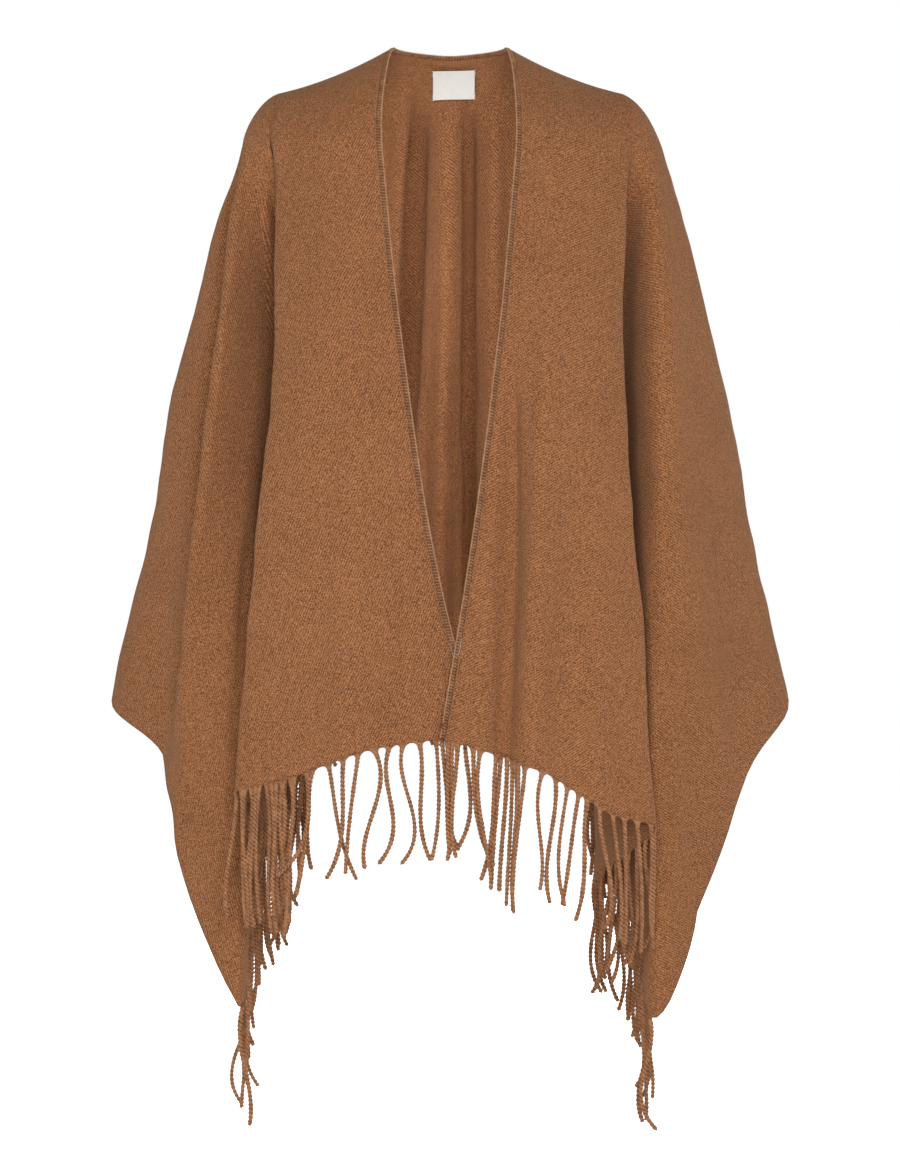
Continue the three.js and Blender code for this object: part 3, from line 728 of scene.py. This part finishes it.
def spun_thread(name, light, dark, roughness=0.8):
    """Soft spun yarn. The lightness in its UV holds each piece's own tone and, on plied cords, painted
    shade, dark where the plies press together; loose fibres lighten it here and there."""
    material, start, shader = finish_of(name, roughness, 0.2, light, 0.6)
    place = start.node("ShaderNodeTexCoord", None, None, "Object")
    # each piece's own tone, and on plies the painted shade between them
    outside = start.node("ShaderNodeUVMap", {"uv_map": "weave"}).part("X")
    fibres = place.noise(1500.0, 2.0, 0.6)
    patches = place.noise(160.0, 2.0)
    tone = outside * 0.75 + (fibres - 0.5) * 1.3 + (patches - 0.5) * 0.7
    paint(material, shader, tone.clamped().mixed(dark, light), fibres, 0.25 * MM, 0.5)
    return material


tail = knot(edge[-1] + np.array([-3.0, -4.0, 17.0]) * MM, 2.0 * MM)
edging = mesh_piece("edging_overlock", *joined([band(), wrapping(), purl(), needle_row(), *tail]))
weld(edging, 0.005 * MM)
edging.data.materials.append(spun_thread("overlock_thread", colour(196, 150, 112), colour(92, 54, 32)))
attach(edging, "root")
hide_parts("edging")


# ---- Label ----
# A satin ribbon label, sewn flat to the inside of the back below the neck by its two ends. It is left
# bare: its ends are turned under, and a few stitches at each corner hold it.

LABEL_WALL = 0.55 * MM
LABEL_TILT = 0.03
LABEL_GAP = 0.4 * MM
low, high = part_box("label")


def back_behind(x, z):
    """The depth of the back's cloth behind each place: the surface of third degree in x and z that fits
    the cloth's points round the label best, moved forward until none of them is in front of it."""
    back = cloth_grid[columns["order"] > line_number("neck corner")].reshape(-1, 3)
    near = (back > [low.x - 0.012, -1, low.z - 0.012]) & (back < [high.x + 0.012, 1, high.z + 0.006])
    back = back[near.all(-1)]

    def terms(u, v):
        return np.stack([(u * 10) ** i * (v * 10) ** j for i in range(4) for j in range(4 - i)], -1)
    fit = np.linalg.lstsq(terms(back[:, 0], back[:, 2]), back[:, 1], rcond=None)[0]
    return terms(x, z) @ fit - (terms(back[:, 0], back[:, 2]) @ fit - back[:, 1]).max()


def label_points(columns=36, rows=25):
    """A near flat grid in front of the back: it bows forward a little between its sewn ends and its
    lower edge lifts."""
    across, down = np.meshgrid(np.linspace(-1, 1, columns), np.linspace(0, 1, rows), indexing="ij")
    middle = (low.x + high.x) / 2
    x = middle + across * (high.x - low.x) / 2
    z = high.z - 0.4 * MM + (low.z - high.z + 1.3 * MM) * down + LABEL_TILT * (x - middle)
    lift = 0.7 * MM * (1 - across ** 2) * (0.3 + 0.7 * down) + 0.2 * MM * np.sin(across * 4 + down * 3)
    y = back_behind(x, z) - CLOTH_WALL / 2 - LABEL_GAP - lift
    return np.stack([x, y, z], -1), np.stack([x, z], -1)


def label_stitches(points):
    """Small slanted stitches over the two ends of the label, close together at the corners."""
    share = np.concatenate([np.linspace(0.02, 0.16, 4), np.linspace(0.84, 0.98, 4)])
    rows = np.round(share * (points.shape[1] - 1)).astype(int)
    t, thread = np.linspace(0, 1, 7), round_profile(5) * 0.28 * MM
    parts = []
    for end, way in ((0, -1), (points.shape[0] - 1, 1)):
        hoop = np.stack([(t * 2.6 - 1.3) * way, 0.7 - np.sin(t * math.pi), (t - 0.5) * 0.9], -1) * MM
        path = points[end, rows][:, None] + hoop
        parts.append(tubes(path, *frame_along(path, [0.0, 0.0, 1.0]), thread, closing(7, 1)))
    return parts


def satin():
    """Ribbon satin: long floats across it in fine rows, an even sheen and a faintly yellow white."""
    material, start, shader = finish_of("label_satin", 0.5, specular=0.4)
    flat = start.node("ShaderNodeUVMap", {"uv_map": "weave"})
    floats = flat.stretched((260.0, 2400.0, 1.0)).noise(1.0, 2.0)
    dust = flat.noise(180.0, 3.0)
    tone = 0.5 + (floats - 0.5) * 0.7 + (dust - 0.5) * 0.4
    base = tone.clamped().mixed(colour(204, 202, 194), colour(232, 231, 226))
    paint(material, shader, base, floats, 0.12 * MM, 0.4)
    return material


label_grid, label_flat = label_points()
label = mesh_piece("label_ribbon", label_grid[::-1], grid_faces(*label_grid.shape[:2]), label_flat[::-1])
thickness = label.modifiers.new("wall", "SOLIDIFY")
thickness.thickness, thickness.offset = LABEL_WALL, 0.0
soft_edge = label.modifiers.new("edge", "BEVEL")
soft_edge.width, soft_edge.segments, soft_edge.limit_method = 0.2 * MM, 2, "ANGLE"
label.data.materials.append(satin())
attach(label, "root")
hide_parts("label")

label_thread = mesh_piece("label_stitches", *joined(label_stitches(label_grid)))
weld(label_thread, 0.005 * MM)
label_thread.data.materials.append(spun_thread("label_thread", colour(232, 228, 216), colour(190, 184, 168)))
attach(label_thread, "root")


# ---- Fringe ----
# The warp is left long beyond both hems. Its threads are gathered at even steps into pairs of plies
# and twisted into cords, so the hem between two cords curves up like an arch. Brushing has left the
# cords hairy, and each hangs by itself, bent by how it was folded and by its neighbours.

CORD = {"step": 15.6 * MM, "long": 118 * MM, "ply": 1.68 * MM, "apart": 0.90 * MM, "pitch": 8.6 * MM}
FOLLOW = 0.2
CORD_RINGS = 70
PLY_SIDES = 5
ARCH = 5.2 * MM
HAIR = {"count": 26, "thick": 0.085 * MM, "root": 1.6 * MM}

# How the front's cords hang, in order from the opening, in millimetres: the place along the hem, how
# far each has drifted towards the viewer's right a third of the way down, at two thirds and at its
# tip, and its length. Where the hem folds back they crowd together.
LEFT_HANG = [
    [9, 2, 2, -13, 112], [22, -3, -6, -2, 108], [27, -1, -2, 8, 112], [32, 2, 4, 3, 112],
    [38, 1, -1, -9, 121], [55, 1, -1, 8, 119], [71, 0, 9, -6, 121], [85.5, -3, 2, -14, 118],
    [102, 5, -7, -10, 120], [118, -6, -11, -14, 121], [134, -1, -3, -18, 120], [151, 6, 13, 28, 116],
    [168, -5, -10, -37, 106], [175.5, 2, -3, -10, 124], [189, -2, -5, -8, 155], [194, 3, -4, 2, 146],
    [199, -4, 2, -2, 160], [204, 5, 2, 9, 128], [209, 0, -2, 3, 152], [214, 4, 6, 10, 133],
    [219, 4, 3, 8, 150], [226, -3, -2, 2, 140], [231, -1, -4, 1, 142], [236, 2, -4, -2, 136],
    [241, -3, 2, 4, 139], [246, 2, 3, 8, 141],
]
RIGHT_HANG = [
    [3, 1, 2, 6, 113], [8, 0, 1, -2, 118], [13, -2, -4, 2, 114], [29, 2, 8, 24, 119],
    [37, -2, 5, 13, 128], [57, -2, -4, -14, 126], [64, -3, -6, -8, 134], [71, -1, -4, -6, 134],
    [79, 0, -2, -4, 146], [84, 3, 0, 1, 148], [90.5, -1, -4, -3, 150], [99, -5, -10, -11, 146],
    [119, -5, -1, -3, 118], [136, -2, -8, -5, 125], [151, -6, -9, -2, 120], [165, -6, -11, -17, 112],
    [175, -3, -4, -13, 122], [190, 4, 11, 4, 122], [206, 5, 8, 6, 126], [220, 1, 1, 0, 128],
    [234, 3, 4, 2, 134],
]


def hem_stretch(inside, hang=(), hem=cloth_grid[:, -1]):
    """The places of the cords along a stretch of columns, as column numbers: the given ones, and then
    even steps along the rest of the hem."""
    inside = np.flatnonzero(inside)
    along = distance_along(hem[None, inside])[0]
    given = np.array([row[0] for row in hang]) * MM
    step = CORD["step"]
    even = np.arange(given[-1] + step if len(given) else step / 3, along[-1], step)
    return np.interp(np.append(given, even), along, inside)


def between(values, places):
    """Values of neighbours in a row mixed at places between them."""
    before = np.clip(np.floor(places).astype(int), 0, len(values) - 2)
    share = (places - before).reshape(-1, *[1] * (values.ndim - 1))
    return values[before] * (1 - share) + values[before + 1] * share


def cord_roots(places):
    """What the cords of one stretch grow from: the root, the way the hem runs there, and the column of
    the cloth's fall that each follows."""
    hem = cloth_grid[:, -1]
    root = between(hem, places)
    apart = length_of(np.diff(root, axis=0))[:, 0]
    return {
        "root": root,
        "room": np.minimum(np.append(apart[0], apart) + np.append(apart, apart[-1]), 2 * CORD["step"]) / 4,
        "hem_way": unit(between(np.gradient(hem, axis=0), places)),
        "plan": between(columns["plan"], places),
        "order": between(columns["order"], places),
    }


def drift(bends, share):
    """The smooth curve through nothing at the root and the three bends at thirds of the way down."""
    a, b, c = (bends[:, k, None] for k in range(3))
    s = share[None]
    return (a * s * (s - 2 / 3) * (s - 1) * 13.5 - b * s * (s - 1 / 3) * (s - 1) * 13.5
            + c * s * (s - 1 / 3) * (s - 2 / 3) * 4.5)


def cord_paths(roots, hang, wild, seed):
    """Centre lines of a row of cords. Each hangs nearly straight down, following a share of the slope of
    the cloth above it, plus its own drift; the ones that no row of the table gives drift by seeded
    amounts of up to wild."""
    count = len(roots["root"])
    chance = np.random.default_rng(seed)
    bends = chance.normal(0, 1, (count, 3)) * [0.25, 0.55, 0.9] * wild
    long = CORD["long"] * chance.uniform(0.93, 1.06, count)
    deep = chance.normal(0, 1, (count, 3)) * [1.5, 2.5, 4.0] * MM
    deep[:, 1:] += np.where(np.arange(count) % 2, 2.4, -2.4)[:, None] * MM
    if hang:
        given = np.array(hang) * MM
        bends[:len(hang)], long[:len(hang)] = given[:, 1:4], given[:, 4]
    share = np.linspace(0, 1, CORD_RINGS)
    z = roots["root"][:, 2:] - share[None] * long[:, None]
    fall = hang_points(roots, z)
    fall[..., :2] = roots["root"][:, None, :2] + (fall - fall[:, :1])[..., :2] * FOLLOW
    fall[..., 0] += drift(bends, share)
    fall[..., 1] += drift(deep, share)
    return fall


def plied(paths, seed):
    """Two plies round each centre line: each ply's own centre circles it once in a pitch, half a turn
    from the other. Each ply's lightness is painted shade: lightest on its outer side, and darkest
    where it presses on the other, where shade falls between the plies. The tips close bluntly."""
    chance = np.random.default_rng(seed)
    count = len(paths)
    along = distance_along(paths)
    first, second = frame_along(paths, [1.0, 0.0, 0.0])
    turn = -2 * math.pi * along / CORD["pitch"] + chance.uniform(0, 2 * math.pi, (count, 1))
    thick = chance.uniform(0.9, 1.12, (count, 1)) * (1 + 0.06 * np.sin(along * 210 + turn[:, :1] * 3))
    share = np.linspace(0, 1, CORD_RINGS)[None]
    around = 2 * math.pi * np.arange(PLY_SIDES) / PLY_SIDES
    cap = np.sqrt(1 - np.clip((share - 0.985) / 0.015, 0, 1) ** 2)
    parts = []
    for ply in range(2):
        angle = (turn + math.pi * ply)[..., None]
        centre = paths + (first * np.cos(angle) + second * np.sin(angle)) * (thick * CORD["apart"])[..., None]
        # painted shade: light on the ply's outer side, dark where shade falls between the plies
        outside = 0.5 + 0.5 * np.cos(angle - around)
        round_ply = round_profile(PLY_SIDES) * CORD["ply"]
        parts.append(tubes(centre, first, second, round_ply, thick * cap, outside))
    return parts


def gathers(roots, paths):
    """Where the hem draws in to each cord: an oval as wide as the cord's room at the hem, which narrows
    along the round arch on either side down to the cord."""
    drop = np.array([-1.6, -0.8, 0, 0.25, 0.8, 1.7, 3.0, 4.6, 6.5]) * MM
    arch = np.sqrt(np.clip(2 * ARCH * drop - drop ** 2, 0, ARCH ** 2)) / ARCH
    narrow = CORD["ply"] + 0.75 * MM
    wide = narrow + (roots["room"][:, None] - narrow) * (1 - arch)
    thick = CLOTH_WALL / 2 + (CORD["ply"] * 1.25 - CLOTH_WALL / 2) * smooth(drop / (5 * MM))
    down = unit(paths[:, 6] - paths[:, 0])[:, None]
    centre = roots["root"][:, None] + down * drop[None, :, None]
    near = np.clip(drop / (CORD["long"] / (CORD_RINGS - 1)), 0, None)
    follow = between(paths.swapaxes(0, 1), near).swapaxes(0, 1)
    centre = np.where((drop > 0)[None, :, None], follow, centre)
    across = roots["hem_way"][:, None] * wide[..., None]
    over = np.cross(down, roots["hem_way"][:, None]) * thick[None, :, None]
    return tubes(centre, across, over, round_profile(10), np.ones(len(drop)), 0.62)


def hairs(paths, seed, count):
    """Loose fibres: thin curved spikes that leave each cord at a slant."""
    chance = np.random.default_rng(seed)
    cords = len(paths)
    place = chance.uniform(0.03, 0.99, (cords, count)) * (CORD_RINGS - 2)
    ring = place.astype(int)
    own = np.arange(cords)[:, None]
    start = paths[own, ring] + (paths[own, ring + 1] - paths[own, ring]) * (place - ring)[..., None]
    along = unit(paths[own, ring + 1] - paths[own, ring])
    angle = chance.uniform(0, 2 * math.pi, (cords, count, 1))
    side_way = unit(np.cross(along, [0.0, 1.0, 0.0]))
    out = side_way * np.cos(angle) + np.cross(along, side_way) * np.sin(angle)
    lean = chance.uniform(0.2, 1.6, (cords, count, 1))
    reach = chance.uniform(2.2, 5.2, (cords, count, 1)) * MM
    curl = chance.normal(0, 0.35, (cords, count, 3))
    t = np.array([0.0, 0.5, 1.0])[None, None, :, None]
    way = unit(out + along * lean)
    reach = (reach + HAIR["root"])[:, :, None]
    path = start[:, :, None] + (way[:, :, None] * t + curl[:, :, None] * t * t) * reach
    path = path.reshape(-1, 3, 3)
    spike, narrowing = round_profile(3) * HAIR["thick"], np.array([1.0, 0.75, 0.2])
    return tubes(path, *frame_along(path, [0.31, 0.87, 0.39]), spike, narrowing)


# The cords' plies carry painted shade between these two colours: dark where they press together.
cord_yarn = spun_thread("cord_yarn", colour(198, 143, 102), colour(82, 46, 26), 0.9)


def fringe(name, node, places, hang, wild, seed):
    """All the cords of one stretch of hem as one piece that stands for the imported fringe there."""
    roots = cord_roots(places)
    paths = cord_paths(roots, hang, wild, seed)
    loose = hairs(paths, seed + 2, HAIR["count"])
    row = mesh_piece(name, *joined([*plied(paths, seed + 1), gathers(roots, paths), loose]))
    row.data.materials.append(cord_yarn)
    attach(row, "root")
    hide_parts(node)
    return row


def front_places(own, hang):
    """The cords of one front, counted from its opening."""
    inside = (columns["order"] <= line_number("corner line")) & (columns["side"] == own)
    if own < 0:
        return hem_stretch(inside, hang)
    return len(inside) - 1 - hem_stretch(inside[::-1], hang, cloth_grid[::-1, -1])


SWING, BACK_SWING = 8 * MM, 5.5 * MM
back_places = hem_stretch(columns["order"] >= line_number("back corner"))
fringes = [
    fringe("fringe_cords_left", "fringe_front_left", front_places(-1, LEFT_HANG), LEFT_HANG, SWING, 4),
    fringe("fringe_cords_right", "fringe_front_right", front_places(1, RIGHT_HANG), RIGHT_HANG, SWING, 14),
    fringe("fringe_cords_back", "fringe_back", back_places, [], BACK_SWING, 24),
]


# ---- Studio ----
# A plain pale floor below the lowest cord and a pale room. Four large soft lights stand round it, the
# strongest behind the viewer, and two narrow ones inside the opening reach the inside of the back.

FLOOR_DEPTH = 0.14
FLOOR_REACH = 9

floor_points = np.array([[-1, -1, 0], [1, -1, 0], [1, 1, 0], [-1, 1, 0]], float) * FLOOR_REACH
floor_points[:, 2] = packed_box[0][2] - FLOOR_DEPTH
floor = mesh_piece("floor", floor_points, np.array([[0, 1, 2, 3]]))
floor_finish, floor_start, floor_shader = finish_of("pale_floor", 0.9, specular=0.5)
floor_shader.inputs["Base Color"].default_value = (0.95, 0.95, 0.95, 1.0)
glow = floor_start.node("ShaderNodeLightPath").mixed((0.1, 0.1, 0.1, 1.0), WHITE)
floor_finish.node_tree.links.new(glow.socket, floor_shader.inputs["Emission Color"])
floor_shader.inputs["Emission Strength"].default_value = 1.0
floor.data.materials.append(floor_finish)

ROOM_LIGHT = 0.14
room = bpy.data.worlds.new("room")
room.use_nodes = True
room_air = Value(room.node_tree)
seen = room_air.node("ShaderNodeLightPath")
lit = room.node_tree.nodes["Background"]
room.node_tree.links.new((seen * (1 - ROOM_LIGHT) + ROOM_LIGHT).socket, lit.inputs["Strength"])
lit.inputs["Color"].default_value = WHITE
bpy.context.scene.world = room
bpy.context.scene.view_settings.view_transform = "Standard"


def soft_light(name, place, target, size, shine):
    """A soft light, wide by tall, that lights a pale wall at its target to a share of white."""
    way = np.array(target, float) - np.array(place, float)
    light = bpy.data.lights.new(name, "AREA")
    light.shape = "RECTANGLE"
    light.size, light.size_y = size
    light.energy = shine * math.pi ** 2 * float(way @ way)
    lamp = bpy.data.objects.new(name, light)
    bpy.context.scene.collection.objects.link(lamp)
    lamp.location = place
    lamp.rotation_euler = (math.atan2(math.hypot(way[0], way[1]), -way[2]), 0, math.atan2(-way[0], way[1]))
    lamp.visible_camera = False


MIDDLE = (0.0, 0.0, -0.5)
soft_light("front", (0.15, -4.1, 0.35), MIDDLE, (2.2, 2.2), 0.84)
soft_light("left", (-4.0, 1.4, 0.4), MIDDLE, (2.0, 2.0), 0.20)
soft_light("right", (4.0, 1.4, 0.4), MIDDLE, (2.0, 2.0), 0.20)
soft_light("behind", (0.8, 4.4, 0.4), MIDDLE, (2.4, 2.4), 0.45)
INSIDE = (0.0, 0.14, -0.41)
STRIP = (0.05, 0.64)
soft_light("inside left", (-0.13, 0.0, -0.41), INSIDE, STRIP, 0.95)
soft_light("inside right", (0.13, 0.0, -0.41), INSIDE, STRIP, 0.7)
